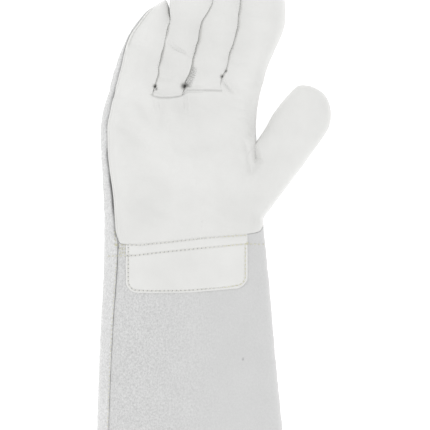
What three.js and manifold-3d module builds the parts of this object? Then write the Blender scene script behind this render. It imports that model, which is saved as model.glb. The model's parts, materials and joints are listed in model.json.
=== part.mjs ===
// Right-hand welding gauntlet lying on its back, in millimetres. +X is to the thumb side, +Y to the fingers,
// +Z out of the palm. The origin is under the middle of the wrist seam, on the plane the glove rests on.
import * as THREE from 'three'
import { mergeVertices } from 'three/addons/utils/BufferGeometryUtils.js'
import Module from 'manifold-3d'

const wasm = await Module()
wasm.setup()

// ---- driving dimensions -------------------------------------------------------------------------------
const LEATHER = 1.5            // wall of every sewn shell
const GAP = 0.3                // between neighbouring pieces
const HINGE_GAP = 0.8          // free play round every joint
const SECTION_POWER = 2.6      // 2 is an ellipse, higher is boxier
const UNDERCUT = 1.5           // how far a section would dip below the plane it is pressed flat on

const CUFF_LENGTH = 197        // wrist seam to mouth
const MOUTH_WIDTH = 146
const MOUTH_HEIGHT = 50
const WRIST_WIDTH = 120.4
const WRIST_HEIGHT = 36
const CUFF_LEAN = 6.6          // the mouth sits this far to the thumb side of the wrist
const WRIST_SLOPE = 0.075      // the wrist seam climbs towards the thumb side
const WRIST_HINGE_Y = 12
const WRIST_FLEX = 45          // degrees

const HEEL_Y = 35              // heights on the hand at which its outline is set, from the wrist seam
const MID_PALM_Y = 78
const LOWER_KNUCKLE_Y = 96
const KNUCKLE_Y = 110
const KNUCKLE_RUN = 24         // how far the hand runs on past the knuckle line, before the hinges
const KNUCKLE_HEIGHT = 27
const PALM_SWELL = 4.2         // extra width on the little-finger side at mid palm
const HEEL_INSET = 2           // how far the thumb side draws in at the heel, and at mid palm
const PALM_INSET = 6.2
const FINGER_HEIGHT = 24
const FINGER_GAP = 1
const FINGER_FLEX = 60
// width, lean from +Y in degrees, how far the hinge lies past the knuckle line, and the length past the hinge
const FINGERS = [
  { name: 'little', width: 31.3, lean: 14.5, ahead: 8, length: 63.5 },
  { name: 'ring', width: 22.7, lean: 14.5, ahead: 7, length: 81.6 },
  { name: 'middle', width: 24.6, lean: 16, ahead: 11.5, length: 84.8 },
  { name: 'index', width: 29.3, lean: 18.5, ahead: 12.5, length: 77.5 },
]
const FINGER_TAPER = 0.93      // width at the start of the tip dome, as a share of the base
const THUMB_WIDTH = 39
const THUMB_HEIGHT = 28
const THUMB_LEAN = 37
const THUMB_LENGTH = 59
const THUMB_ROOT = { x: 69, y: 60.8 }
const THUMB_FLEX = 40
const THUMB_STUB = 55          // how far the thumb's root reaches back into the hand

const FOURCHETTE_WIDTH = 12    // gusset between the front and the back of a finger
const STRIP_WIDTH = 8.5        // back leather that wraps round to the palm side on the little-finger edge
const STRIP_NARROWING = 2.4    // how much of it is lost on the way up to the knuckles
const SEAM_SHIFT = 2           // the side seam's swing from the mouth to the wrist
const SEAM_SHIFT_RUN = 40
const PATCH_THICKNESS = 1.2
const PATCH_WIDTH = 90.5
const PATCH_DEPTH = 38.5
const PATCH_CORNER = 9.5
const PATCH_CENTRE = 2.2
const PATCH_TUCK = 1.2         // how far the patch runs on under the wrist seam
const PATCH_SKEW = 2           // how much shallower it is on the thumb side
const THREAD = 0.6             // how far a run of stitching stands up
const THREAD_WIDTH = 1.2
const STITCH_MARGIN = 2        // from an edge to its stitching
const ROW_SPACING = 7.4        // between the two wrist rows
const UPPER_ROW_DROP = 0.2     // from the wrist seam to the upper row
const BINDING_REACH = 11       // how far the mouth binding folds over the leather

const BODY_SIDES = 32          // facets round the cuff and the hand
const DIGIT_SIDES = 22
const STUB_SIDES = 24
const WHEEL_SIDES = 28
const BEYOND = 90              // further out than any part of the glove, for blocks that only cut

const finish = (name, color, roughness) => (
  new THREE.MeshStandardMaterial({ name, color, roughness, metalness: 0 }))
const GRAIN = finish('grain_leather', 0xe6e6e3, 0.62)
const SPLIT = finish('split_leather', 0xd4d6d6, 0.92)
const YARN = finish('sewing_thread', 0xe6e0b4, 0.7)

const rad = THREE.MathUtils.degToRad
const group = new THREE.Group()

// ---- solids -------------------------------------------------------------------------------------------
function solid(geometry) {
  geometry.deleteAttribute('normal')
  geometry.deleteAttribute('uv')
  const merged = mergeVertices(geometry, 1e-4)
  const vertProperties = new Float32Array(merged.attributes.position.array)
  const triVerts = new Uint32Array(merged.index.array)
  return new wasm.Manifold(new wasm.Mesh({ numProp: 3, vertProperties, triVerts }))
}

// The largest connected part of a cut solid: slivers that a cut leaves loose are trimmed away.
function trimmed(body) {
  const parts = body.decompose()
  return parts.reduce((best, part) => (part.volume() > best.volume() ? part : best))
}

function addPiece(name, body, material) {
  const { vertProperties, triVerts } = trimmed(body).getMesh()
  const geometry = new THREE.BufferGeometry()
  geometry.setAttribute('position', new THREE.Float32BufferAttribute(vertProperties, 3))
  geometry.setIndex(new THREE.BufferAttribute(triVerts, 1))
  geometry.computeVertexNormals()
  const mesh = new THREE.Mesh(geometry, material)
  mesh.name = name
  group.add(mesh)
}

// Straight box from its lowest to its highest corner, in the frame of the matrix.
function block(low, high, matrix = new THREE.Matrix4()) {
  const geometry = new THREE.BoxGeometry(high[0] - low[0], high[1] - low[1], high[2] - low[2])
  geometry.translate((low[0] + high[0]) / 2, (low[1] + high[1]) / 2, (low[2] + high[2]) / 2)
  geometry.applyMatrix4(matrix)
  return solid(geometry)
}

// Plan outline raised from one height to another.
function prism(points, low, high) {
  const outline = new THREE.Shape(points.map(([x, y]) => new THREE.Vector2(x, y)))
  const geometry = new THREE.ExtrudeGeometry(outline, { depth: high - low, bevelEnabled: false })
  geometry.translate(0, 0, low)
  return solid(geometry)
}

// A closed body with a rounded-box section at each station: t across, s along, z up. grow moves its skin
// outwards, or inwards below 0, and the underside is pressed flat on the resting plane.
function form({ section, from, to, sides = 32, rings = 6, ease = (v) => v, grow = 0, matrix }) {
  const geometry = new THREE.CylinderGeometry(1, 1, 1, sides, rings)
  const position = geometry.attributes.position
  const rounded = (c) => Math.sign(c) * Math.abs(c) ** (2 / SECTION_POWER)
  for (let i = 0; i < position.count; i += 1) {
    const radius = Math.hypot(position.getX(i), position.getZ(i))
    const angle = Math.atan2(position.getZ(i), position.getX(i))
    const s = from + (to - from) * ease(position.getY(i) + 0.5)
    const { centre, half, middle, rise } = section(s, grow)
    const t = centre + half * radius * rounded(Math.cos(angle))
    const z = middle + rise * radius * rounded(Math.sin(angle))
    position.setXYZ(i, t, s, Math.max(z, -grow))
  }
  if (matrix) geometry.applyMatrix4(matrix)
  return solid(geometry)
}

// Value at s on straight runs between [s, value] stations.
function along(stations, s) {
  const last = stations.length - 2
  const found = stations.findIndex(([next], i) => i > 0 && s < next) - 1
  const i = found < 0 ? last : found
  const share = THREE.MathUtils.clamp((s - stations[i][0]) / (stations[i + 1][0] - stations[i][0]), 0, 1)
  return THREE.MathUtils.lerp(stations[i][1], stations[i + 1][1], share)
}

const heightSection = (height, grow) => (
  { middle: (height - UNDERCUT) / 2, rise: (height + UNDERCUT) / 2 + grow })

// ---- layout: fingers side by side along the knuckle line, each hinge on its own centre line -----------
const fingerSpan = FINGERS.reduce((sum, f) => sum + f.width / Math.cos(rad(f.lean)) + FINGER_GAP, -FINGER_GAP)
const knuckleLeft = -0.5 * fingerSpan
let nextEdge = knuckleLeft
for (const finger of FINGERS) {
  const spread = finger.width / Math.cos(rad(finger.lean))
  finger.x = nextEdge + spread / 2 + finger.ahead * Math.tan(rad(finger.lean))
  finger.y = KNUCKLE_Y + finger.ahead
  nextEdge += spread + FINGER_GAP
}
const digitMatrix = (lean, x, y) => new THREE.Matrix4().makeRotationZ(-rad(lean)).setPosition(x, y, 0)

// Everything that a joint's moving part needs clear, in its own frame: all the space past the hinge at rest,
// the same space swung to the end of the travel, and the wheel that its end turns in on the way.
function hingeClearance({ matrix, left, right, height, flex }) {
  const rise = (height + UNDERCUT) / 2
  const middle = (height - UNDERCUT) / 2
  const span = right - left
  const ahead = block([left, -HINGE_GAP, -10], [right, 80, BEYOND], matrix)
  const reach = rise + HINGE_GAP
  const swungLength = 40
  const swung = new THREE.BoxGeometry(span, swungLength, 2 * reach)
  swung.translate((left + right) / 2, swungLength / 2 - HINGE_GAP, 0)
  swung.rotateX(rad(flex))
  swung.translate(0, 0, middle)
  swung.applyMatrix4(matrix)
  const wheel = new THREE.CylinderGeometry(reach, reach, span, WHEEL_SIDES)
  wheel.rotateZ(Math.PI / 2)
  wheel.translate((left + right) / 2, 0, middle)
  wheel.applyMatrix4(matrix)
  const upper = block([left - 1, -60, middle - HINGE_GAP], [right + 1, 60, BEYOND], matrix)
  return ahead.add(solid(swung).add(solid(wheel)).intersect(upper))
}

// ---- cuff ---------------------------------------------------------------------------------------------
const halfWrist = WRIST_WIDTH / 2
const flare = (MOUTH_WIDTH - WRIST_WIDTH) / 2
const cuffSection = (s, grow) => {
  const share = THREE.MathUtils.clamp(-s / CUFF_LENGTH, 0, 1)
  const height = THREE.MathUtils.lerp(WRIST_HEIGHT, MOUTH_HEIGHT, share)
  return { centre: CUFF_LEAN * share, half: halfWrist + flare * share + grow, ...heightSection(height, grow) }
}
const wristMatrix = new THREE.Matrix4()
  .makeRotationZ(Math.atan(WRIST_SLOPE))
  .setPosition(0, WRIST_HINGE_Y, 0)
const seamHeight = (WRIST_HEIGHT - UNDERCUT) / 2
const wristClearance = hingeClearance({
  matrix: wristMatrix, left: -BEYOND, right: BEYOND, height: WRIST_HEIGHT, flex: WRIST_FLEX,
})
const cuffForm = (grow, from = -CUFF_LENGTH, to = 20) => form({
  section: cuffSection, from, to, sides: BODY_SIDES, rings: 5, grow,
})
const cuffShell = cuffForm(0).subtract(cuffForm(-LEATHER, -CUFF_LENGTH - 5, 25)).subtract(wristClearance)

// The side seam where the wrapped back leather meets the front, at a height y on the glove.
const edgeSeam = (y) => {
  const cuffEdge = cuffSection(Math.min(y, 0), 0)
  const shift = SEAM_SHIFT * THREE.MathUtils.clamp(-y / SEAM_SHIFT_RUN, -1, 1)
  return cuffEdge.centre - cuffEdge.half + STRIP_WIDTH + shift
}
function frontRegion(edge, low, high, seam) {
  const steps = 8
  const line = Array.from({ length: steps + 1 }, (_, i) => low + ((high - low) * i) / steps)
  const points = line.map((y) => [seam(y) + edge, y])
  return prism([[140, low], [140, high], ...points.reverse()], seamHeight + edge, BEYOND)
}
const cuffFront = frontRegion(GAP / 2, -CUFF_LENGTH - 1, 30, edgeSeam)
const cuffNotFront = frontRegion(-GAP / 2, -CUFF_LENGTH - 1, 30, edgeSeam)
addPiece('cuff_front_panel', cuffShell.intersect(cuffFront), SPLIT)
addPiece('cuff_back_panel', cuffShell.subtract(cuffNotFront), SPLIT)

// Binding folded over the raw edge of the mouth, stitched through.
const mouth = -CUFF_LENGTH
const bindingSkin = LEATHER + GAP
const edgeSlot = cuffForm(GAP, mouth - GAP, 0).subtract(cuffForm(-bindingSkin, mouth - 5, 5))
const bindingOuter = form({
  section: (s, grow) => cuffSection(s, grow + bindingSkin),
  from: mouth - bindingSkin,
  to: mouth + BINDING_REACH,
  sides: BODY_SIDES,
  rings: 1,
})
const binding = bindingOuter
  .subtract(cuffForm(-bindingSkin - LEATHER, mouth - 10, 10))
  .subtract(edgeSlot)
addPiece('cuff_mouth_binding', binding, SPLIT)

// Layer that lies on the front of the cuff between two heights above its leather.
const cuffLayer = (low, high) => cuffForm(high, -150, 60).subtract(cuffForm(low, -155, 65))
const wristLine = (x, below = 0) => WRIST_SLOPE * x - below

// A straight run of stitching between two points, as a narrow band in plan.
function run([x0, y0], [x1, y1]) {
  const length = Math.hypot(x1 - x0, y1 - y0)
  const half = THREAD_WIDTH / 2
  const turn = new THREE.Matrix4().makeRotationZ(Math.atan2(y1 - y0, x1 - x0)).setPosition(x0, y0, 0)
  return block([0, -half, seamHeight], [length, half, BEYOND], turn)
}

// Rounded patch over the pulse, sewn on along the wrist seam and round its edge.
const patchOutline = (inset) => {
  const half = PATCH_WIDTH / 2 - inset
  const low = -PATCH_DEPTH + inset
  const corner = PATCH_CORNER - inset / 2
  const [left, right] = [PATCH_CENTRE - half, PATCH_CENTRE + half]
  return [
    [left, wristLine(left, -PATCH_TUCK + inset)], [left, low + corner], [left + corner, low],
    [right - corner, low + PATCH_SKEW], [right, low + PATCH_SKEW + corner],
    [right, wristLine(right, -PATCH_TUCK + inset)],
  ]
}
const patchLayer = cuffLayer(GAP, GAP + PATCH_THICKNESS)
addPiece('pulse_patch', patchLayer.intersect(prism(patchOutline(0), seamHeight, BEYOND)), GRAIN)

const onPatch = 2 * GAP + PATCH_THICKNESS
const threadOnPatch = cuffLayer(onPatch, onPatch + THREAD)
const rowEnd = PATCH_WIDTH / 2 - STITCH_MARGIN
const rowSpan = (below) => [
  [PATCH_CENTRE - rowEnd, wristLine(PATCH_CENTRE - rowEnd, below)],
  [PATCH_CENTRE + rowEnd, wristLine(PATCH_CENTRE + rowEnd, below)],
]
addPiece('wrist_stitching_upper', threadOnPatch.intersect(run(...rowSpan(UPPER_ROW_DROP))), YARN)
addPiece('wrist_stitching_lower', threadOnPatch.intersect(run(...rowSpan(ROW_SPACING))), YARN)
const rowEdge = ROW_SPACING + STITCH_MARGIN
const aboveRows = [
  [-BEYOND, wristLine(-BEYOND, rowEdge)], [BEYOND, wristLine(BEYOND, rowEdge)],
  [BEYOND, BEYOND], [-BEYOND, BEYOND],
]
const patchRun = prism(patchOutline(STITCH_MARGIN), seamHeight, BEYOND)
  .subtract(prism(patchOutline(STITCH_MARGIN + THREAD_WIDTH), seamHeight - 1, BEYOND + 1))
  .subtract(prism(aboveRows, seamHeight - 1, BEYOND + 1))
addPiece('patch_stitching', threadOnPatch.intersect(patchRun), YARN)

// Stitching beside the folded side seam, from below the wrist rows to the binding.
const seamStart = -ROW_SPACING - 8
const seamEnd = mouth + BINDING_REACH + STITCH_MARGIN
const threadOnCuff = cuffForm(GAP + THREAD, mouth, 20).subtract(cuffForm(GAP, mouth - 5, 25))
const besideSeam = (y) => [edgeSeam(y) + STITCH_MARGIN, y]
const seamRun = run(besideSeam(seamStart), besideSeam(-SEAM_SHIFT_RUN))
  .add(run(besideSeam(-SEAM_SHIFT_RUN), besideSeam(seamEnd)))
addPiece('side_seam_stitching', threadOnCuff.intersect(seamRun), YARN)

// ---- hand ---------------------------------------------------------------------------------------------
const palmLeft = [[0, -halfWrist], [HEEL_Y, -halfWrist - PALM_SWELL / 3],
  [MID_PALM_Y, -halfWrist - 0.8 * PALM_SWELL], [LOWER_KNUCKLE_Y, -halfWrist - PALM_SWELL / 4],
  [KNUCKLE_Y, knuckleLeft],
  [KNUCKLE_Y + KNUCKLE_RUN, knuckleLeft + KNUCKLE_RUN * Math.tan(rad(FINGERS[0].lean))]]
const palmRight = [[0, halfWrist], [HEEL_Y, halfWrist - HEEL_INSET], [84, halfWrist - PALM_INSET],
  [KNUCKLE_Y, knuckleLeft + fingerSpan],
  [KNUCKLE_Y + KNUCKLE_RUN, knuckleLeft + fingerSpan + KNUCKLE_RUN * Math.tan(rad(FINGERS[3].lean))]]
const palmHeight = [[0, WRIST_HEIGHT], [50, (WRIST_HEIGHT + KNUCKLE_HEIGHT) / 2 + 3],
  [KNUCKLE_Y, KNUCKLE_HEIGHT], [KNUCKLE_Y + KNUCKLE_RUN, KNUCKLE_HEIGHT]]
const palmSection = (s, grow) => {
  const left = along(palmLeft, s)
  const right = along(palmRight, s)
  const half = (right - left) / 2 + grow
  return { centre: (left + right) / 2, half, ...heightSection(along(palmHeight, s), grow) }
}
const thumbMatrix = digitMatrix(THUMB_LEAN, THUMB_ROOT.x, THUMB_ROOT.y)
const stubSection = (s, grow) => (
  { centre: 0, half: THUMB_WIDTH / 2 + grow, ...heightSection(THUMB_HEIGHT - s / 12, grow) })
const palmForm = (grow, over) => form({
  section: palmSection, from: -5 - over, to: KNUCKLE_Y + KNUCKLE_RUN + over,
  sides: BODY_SIDES, rings: 7, grow,
})
const stubForm = (grow, over) => form({
  section: stubSection, from: -THUMB_STUB - over, to: over,
  sides: STUB_SIDES, rings: 2, grow, matrix: thumbMatrix,
})
const halfThumb = THUMB_WIDTH / 2
const thumbClearance = hingeClearance({
  matrix: thumbMatrix, left: -halfThumb - 0.5, right: halfThumb + 8, height: THUMB_HEIGHT, flex: THUMB_FLEX,
})
const behindWrist = block([-BEYOND - 30, -BEYOND, -10], [BEYOND + 30, 0, BEYOND], wristMatrix)
let handShell = palmForm(0, 0).add(stubForm(0, 0))
  .subtract(palmForm(-LEATHER, 5))
  .subtract(stubForm(-LEATHER, 5))
  .subtract(thumbClearance)
  .subtract(behindWrist)
for (const [i, finger] of FINGERS.entries()) {
  finger.matrix = digitMatrix(finger.lean, finger.x, finger.y)
  const half = finger.width / 2
  const left = -half - (i === 0 ? 12 : FINGER_GAP / 2 + GAP)
  const right = half + (i === FINGERS.length - 1 ? 12 : FINGER_GAP / 2 + GAP)
  const clearance = hingeClearance({
    matrix: finger.matrix, left, right, height: FINGER_HEIGHT, flex: FINGER_FLEX,
  })
  handShell = handShell.subtract(clearance)
}
const palmSeam = (y) => along(palmLeft, y) + STRIP_WIDTH - STRIP_NARROWING * (y / KNUCKLE_Y)
const palmFront = frontRegion(GAP / 2, 0, KNUCKLE_Y + 2 * KNUCKLE_RUN, palmSeam)
const palmNotFront = frontRegion(-GAP / 2, 0, KNUCKLE_Y + 2 * KNUCKLE_RUN, palmSeam)
addPiece('palm_panel', handShell.intersect(palmFront), GRAIN)
addPiece('hand_back_panel', handShell.subtract(palmNotFront), SPLIT)

// Welting of the palm's side seam: a narrow strip on the seam, from the wrist to the little finger's base.
const palmLayer = palmForm(GAP + THREAD, 0).subtract(palmForm(GAP, 5)).subtract(behindWrist)
const weltStops = [WRIST_HINGE_Y + 3, HEEL_Y, MID_PALM_Y, KNUCKLE_Y - FINGER_HEIGHT]
const onSeam = (y) => [palmSeam(y), y]
const weltRun = weltStops.slice(1).map((y, i) => run(onSeam(weltStops[i]), onSeam(y)))
const weltBody = weltRun.reduce((sum, part) => sum.add(part))
addPiece('palm_seam_welt', palmLayer.intersect(weltBody), GRAIN)

// ---- digits -------------------------------------------------------------------------------------------
function digitSection({ width, height, length }) {
  const dome = 0.62 * width
  return (s, grow) => {
    const end = length + grow
    const into = THREE.MathUtils.clamp((s - (end - dome)) / dome, 0, 1)
    const round = Math.max(Math.sqrt(1 - into ** 2.4), 0.04)
    const taper = THREE.MathUtils.lerp(1, FINGER_TAPER, THREE.MathUtils.clamp(s / (end - dome), 0, 1))
    const rise = ((height + UNDERCUT) / 2 + grow) * round * taper
    return { centre: 0, half: (width / 2 + grow) * round * taper, middle: (height - UNDERCUT) / 2, rise }
  }
}

function digitShell(digit) {
  const section = digitSection(digit)
  const ease = (v) => Math.sin((v * Math.PI) / 2)
  const skin = (grow, from) => form({
    section, from, to: digit.length + grow, sides: DIGIT_SIDES, rings: 7, ease, grow, matrix: digit.matrix,
  })
  return skin(0, 0).subtract(skin(-LEATHER, -3))
}

// Front, back and gussets of a finger. A wrapped side has its seam on the front, an open side at mid height.
function addDigit(digit, { gussets = [], wrapLeft = 0 }) {
  const shell = digitShell(digit)
  const { matrix, width, length, height } = digit
  const middle = (height - UNDERCUT) / 2
  const half = width / 2 + 2
  const gussetEnd = length - 0.45 * width
  const frontSide = (play) => {
    const left = wrapLeft ? wrapLeft - width / 2 + play : -half
    return block([left, -5, middle + play], [half, length + 5, BEYOND], matrix)
  }
  let rest = shell
  for (const side of gussets) {
    const reach = (play) => {
      const [inner, outer] = [width / 4, half]
      const [low, high] = side === 'left' ? [-outer, -inner] : [inner, outer]
      const band = FOURCHETTE_WIDTH / 2 + play
      return block([low, -6, middle - band], [high, gussetEnd + play, middle + band], matrix)
    }
    addPiece(`${digit.name}_${side}_fourchette`, shell.intersect(reach(-GAP / 2)), GRAIN)
    rest = rest.subtract(reach(GAP / 2))
  }
  addPiece(`${digit.name}_front`, rest.intersect(frontSide(GAP / 2)), GRAIN)
  addPiece(`${digit.name}_back`, rest.subtract(frontSide(-GAP / 2)), SPLIT)
}

const [little, ring, middleFinger, index] = FINGERS
for (const finger of FINGERS) finger.height = FINGER_HEIGHT
addDigit(little, { gussets: ['right'], wrapLeft: STRIP_WIDTH - 2 })
addDigit(ring, { gussets: ['left', 'right'] })
addDigit(middleFinger, { gussets: ['left', 'right'] })
addDigit(index, { gussets: ['left'] })
const thumb = { name: 'thumb', width: THUMB_WIDTH, height: THUMB_HEIGHT, length: THUMB_LENGTH }
thumb.matrix = thumbMatrix
addDigit(thumb, {})

export default group
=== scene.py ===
"""Right-hand welding gauntlet in grain and split leather, lying on its back, palm up.

Lengths are in millimetres up to the point where a mesh is made. Every panel of leather is a height over
the plan: the palm side is a function top(x, y), the underside a function under(x, y), and the two meet at
the edge.
"""
import json

import bmesh
import bpy
import numpy as np
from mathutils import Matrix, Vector

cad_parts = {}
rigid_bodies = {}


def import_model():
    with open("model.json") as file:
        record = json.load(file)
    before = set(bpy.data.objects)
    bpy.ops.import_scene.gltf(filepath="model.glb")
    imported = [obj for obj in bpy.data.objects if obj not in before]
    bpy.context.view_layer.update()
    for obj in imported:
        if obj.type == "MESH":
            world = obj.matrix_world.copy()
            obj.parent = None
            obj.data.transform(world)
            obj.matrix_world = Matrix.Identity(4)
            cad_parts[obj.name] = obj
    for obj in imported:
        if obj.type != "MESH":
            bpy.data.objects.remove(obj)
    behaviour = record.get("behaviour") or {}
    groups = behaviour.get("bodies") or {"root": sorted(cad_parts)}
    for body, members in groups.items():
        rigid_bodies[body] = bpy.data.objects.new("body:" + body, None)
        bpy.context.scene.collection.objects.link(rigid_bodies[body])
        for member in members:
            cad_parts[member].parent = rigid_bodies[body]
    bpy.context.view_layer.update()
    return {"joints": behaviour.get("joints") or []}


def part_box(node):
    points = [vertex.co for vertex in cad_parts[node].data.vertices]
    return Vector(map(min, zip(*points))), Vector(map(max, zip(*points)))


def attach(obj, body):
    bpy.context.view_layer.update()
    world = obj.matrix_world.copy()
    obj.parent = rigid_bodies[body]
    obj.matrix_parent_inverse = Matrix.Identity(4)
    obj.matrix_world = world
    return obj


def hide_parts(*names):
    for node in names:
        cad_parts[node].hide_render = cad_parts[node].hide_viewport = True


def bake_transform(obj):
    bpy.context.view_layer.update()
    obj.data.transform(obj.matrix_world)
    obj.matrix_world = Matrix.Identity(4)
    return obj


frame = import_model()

MM = 0.001
JOINTS = {joint["name"]: joint for joint in frame["joints"]}


# ---- helpers for curves and reliefs --------------------------------------------------------------
def curve(*stations):
    """A smooth curve through (place, value) stations: a cubic between neighbours, level at each turning
    point and with the harmonic mean of the two slopes elsewhere, so it never overshoots. Straight beyond
    both ends."""
    at, value = np.array(stations, float).T
    gap = np.diff(at)
    slope = np.diff(value) / gap
    both = slope[1:] * slope[:-1]
    tangent = np.concatenate([slope[:1], np.zeros(len(both)), slope[-1:]])
    rising = both > 0
    tangent[1:-1][rising] = 2 * both[rising] / (slope[1:] + slope[:-1])[rising]

    def read(place):
        place = np.asarray(place, float)
        k = np.clip(np.searchsorted(at, place) - 1, 0, len(gap) - 1)
        whole = (place - at[k]) / gap[k]
        t = np.clip(whole, 0, 1)
        start = (2 * t - 3) * t * t * value[k] + value[k] + ((t - 2) * t + 1) * t * gap[k] * tangent[k]
        end = (3 - 2 * t) * t * t * value[k + 1] + (t - 1) * t * t * gap[k] * tangent[k + 1]
        beyond = (whole - t) * gap[k] * np.where(whole > 1, tangent[k + 1], tangent[k])
        return start + end + beyond

    return read


def smoothstep(value):
    """0 below 0, 1 above 1, and an S between."""
    t = np.clip(value, 0, 1)
    return t * t * (3 - 2 * t)


def arc(across, power):
    """Rounded-box profile: 1 at the middle, 0 at across = -1 and 1, where it stands upright."""
    return np.clip(1 - np.abs(across) ** power, 0, 1) ** (1 / power)


def distance(x, y, path):
    """Distance from (x, y) to a bent line, and the share of the line's length at the nearest point."""
    points = np.array(path, float)
    steps = np.diff(points, axis=0)
    lengths = np.hypot(*steps.T)
    best = np.full(np.shape(x), 1e9)
    share = np.zeros(np.shape(x))
    for (px, py), (dx, dy), length, before in zip(points, steps, lengths, np.cumsum(lengths) - lengths):
        along = np.clip(((x - px) * dx + (y - py) * dy) / length**2, 0, 1)
        away = np.hypot(x - px - along * dx, y - py - along * dy)
        nearer = away < best
        best = np.where(nearer, away, best)
        share = np.where(nearer, (before + along * length) / lengths.sum(), share)
    return best, share


def crease(x, y, path, width, depth, lip=0.3, fade=0.5):
    """A fold: a bell-shaped groove along the path, a low lip on both sides, running out at both ends."""
    away, share = distance(x, y, path)
    ends = np.sin(np.pi * np.clip(share, 0.02, 0.98)) ** fade
    groove = np.exp(-((away / width) ** 2))
    raised = np.exp(-(((away - 2.4 * width) / (1.3 * width)) ** 2))
    return depth * ends * (lip * raised - groove)


def rolling(x, y, size, seed, count=9):
    """Soft unevenness of about plus and minus one: sine waves of about the given length in all
    directions."""
    draw = np.random.default_rng(seed)
    turn = draw.uniform(0, np.pi, count)
    wave = 2 * np.pi / (size * draw.uniform(0.65, 1.5, count))
    shift = draw.uniform(0, 2 * np.pi, count)
    total = np.zeros(np.shape(x))
    for a, k, p in zip(turn, wave, shift):
        total += np.sin(k * (x * np.cos(a) + y * np.sin(a)) + p)
    return total / np.sqrt(count)


def wavy(line, size, seed):
    """The same curve with a small unevenness: four sine waves, 8 to 22 long, of the given size together."""
    draw = np.random.default_rng(seed)
    lengths = draw.uniform(8, 22, 4)
    shifts = draw.uniform(0, 2 * np.pi, 4)

    def read(y):
        y = np.asarray(y, float)
        return line(y) + sum(size / 2 * np.sin(2 * np.pi * y / k + p) for k, p in zip(lengths, shifts))

    return read


# ---- the glove's outline in plan -----------------------------------------------------------------
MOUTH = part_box("cuff_front_panel")[0].y / MM          # where the cuff ends
LEFT = curve((-197, -66.4), (-120, -64.5), (-60, -62.3), (-20, -60.3), (12, -60), (48, -61.5), (80, -63),
             (96, -61.4), (108, -57.8), (126, -53.3), (141, -48.2), (153, -42.8), (162, -37.3), (170, -30.8),
             (180.5, -18))
LEFT = wavy(LEFT, 0.12, 3)
RIGHT = curve((-197, 79.5), (-138, 73.5), (-84, 68.3), (-36, 64.3), (0, 60.8), (12, 59.6), (30, 58.5),
              (50, 56.5), (73, 54.3), (84, 54.2), (96, 54.8), (108, 57), (120, 60), (132, 63.8), (144, 69),
              (153, 73.2), (162, 75.9), (172, 76.8), (198, 73))
RIGHT = wavy(RIGHT, 0.12, 4)
LITTLE_RING = wavy(curve((96, -25.5), (108, -23.4), (115.5, -21.8), (126, -19.5), (137, -17.3), (150, -14.3),
                    (166, -10.8), (180, -10.6), (197, -8)), 0.3, 1)
RING_MIDDLE = wavy(curve((96, -3), (108, -1), (115.5, 0), (121, 2), (128, 5.2), (138, 6.9), (146, 9.6),
                         (153, 10.9), (160, 12), (168, 16), (174, 19.6), (180, 21.5), (204, 27)), 0.35, 2)
MIDDLE_INDEX = wavy(curve((96, 24), (112, 26.5), (122.6, 28.5), (127, 30.8), (132, 32.6), (140, 34),
                          (146, 36.3), (153, 38.5), (161, 40), (170, 41), (180, 42.2), (204, 47.5)), 0.3, 6)
# where the back leather, wrapped round the little-finger edge, is sewn to the palm and folded on to the cuff
SEAM = curve((-197, -57.2), (-107, -54.6), (-60, -52.4), (-22, -49.8), (-2, -49.1), (6, -50.6), (32, -52.6),
             (66, -56.8), (84, -57.2), (96, -55.2), (109, -52.4), (121, -49.4), (133, -46.3), (144, -44.3),
             (154, -40.6), (162.6, -34.6), (171, -28.2), (180.5, -18.5))
SEAM_DEPTH = curve((-197, 0.4), (-60, 0.55), (-15, 0.75), (0, 1.1), (10, 2.2), (34, 3.2), (58, 2.6),
                   (80, 1.4), (112, 1.9), (140, 1.8), (180, 1.2))
# lower edge of the palm leather across the wrist, its rounded corner below the thumb as x over y, the line on
# the cuff that both follow, and the line where the fingers' fronts begin
WRIST = ((-52.2, 7), (-50.2, 3.6), (-48.4, -1), (-47.2, -2.2), (-45.5, -2.7), (-40, -2.9), (-31.7, -2.6),
         (-10.2, -0.5), (15.6, 2.6), (46.6, 4.7), (53, 5.6))
WRIST_EDGE = curve(*WRIST, (57, 6.6), (90, 9))
PALM_CORNER = curve((5, 54), (6.4, 56.4), (9, 58.4), (13, 60.1), (18, 61.4), (24, 66))
CUFF_EDGE = curve(*WRIST, (56.4, 6.6), (58.4, 9), (60.1, 13), (61.4, 17.6), (90, 18.5))
FINGER_EDGE = curve((-60, 106), (-27, 109), (-24.1, 109), (-21.7, 107.4), (-17.6, 106.6), (-10, 106.6),
                    (-3, 107.6), (-0.2, 109.2), (2.6, 112.4), (11, 112.3), (24, 112), (28, 111.6), (60, 108))
CROTCH = curve((-60, 114), (-21.8, 114.5), (0, 114.5), (28.5, 121.5), (60, 118))

# height of the edge where the palm side meets the underside, and of the palm side's middle above it
LEVEL = curve((-197, 24.2), (0, 17.25), (60, 14.8), (110, 12), (130, 11.25), (205, 11.25))
CROWN = curve((-197, 25.2), (-60, 20), (0, 18.2), (40, 17.2), (80, 15.2), (110, 13.5), (125, 12.9))
SIDE_LEFT, SIDE_RIGHT = 9.9, 11.9         # half the width of the gusset on a finger's left and right side
FINGER_CROWN, THUMB_CROWN = 12.9, 13.2    # height of their middles above the edge, on the palm side
FLATTENED = 1.5                # how far the underside would reach below the table if it weren't pressed flat
TOP_ROUND, UNDER_ROUND = 2.7, 3.0         # powers of the two rounded-box profiles
WALL = 1.3                     # leather
PART = 0.025                   # how far each finger draws back from the line between it and its neighbour

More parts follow.
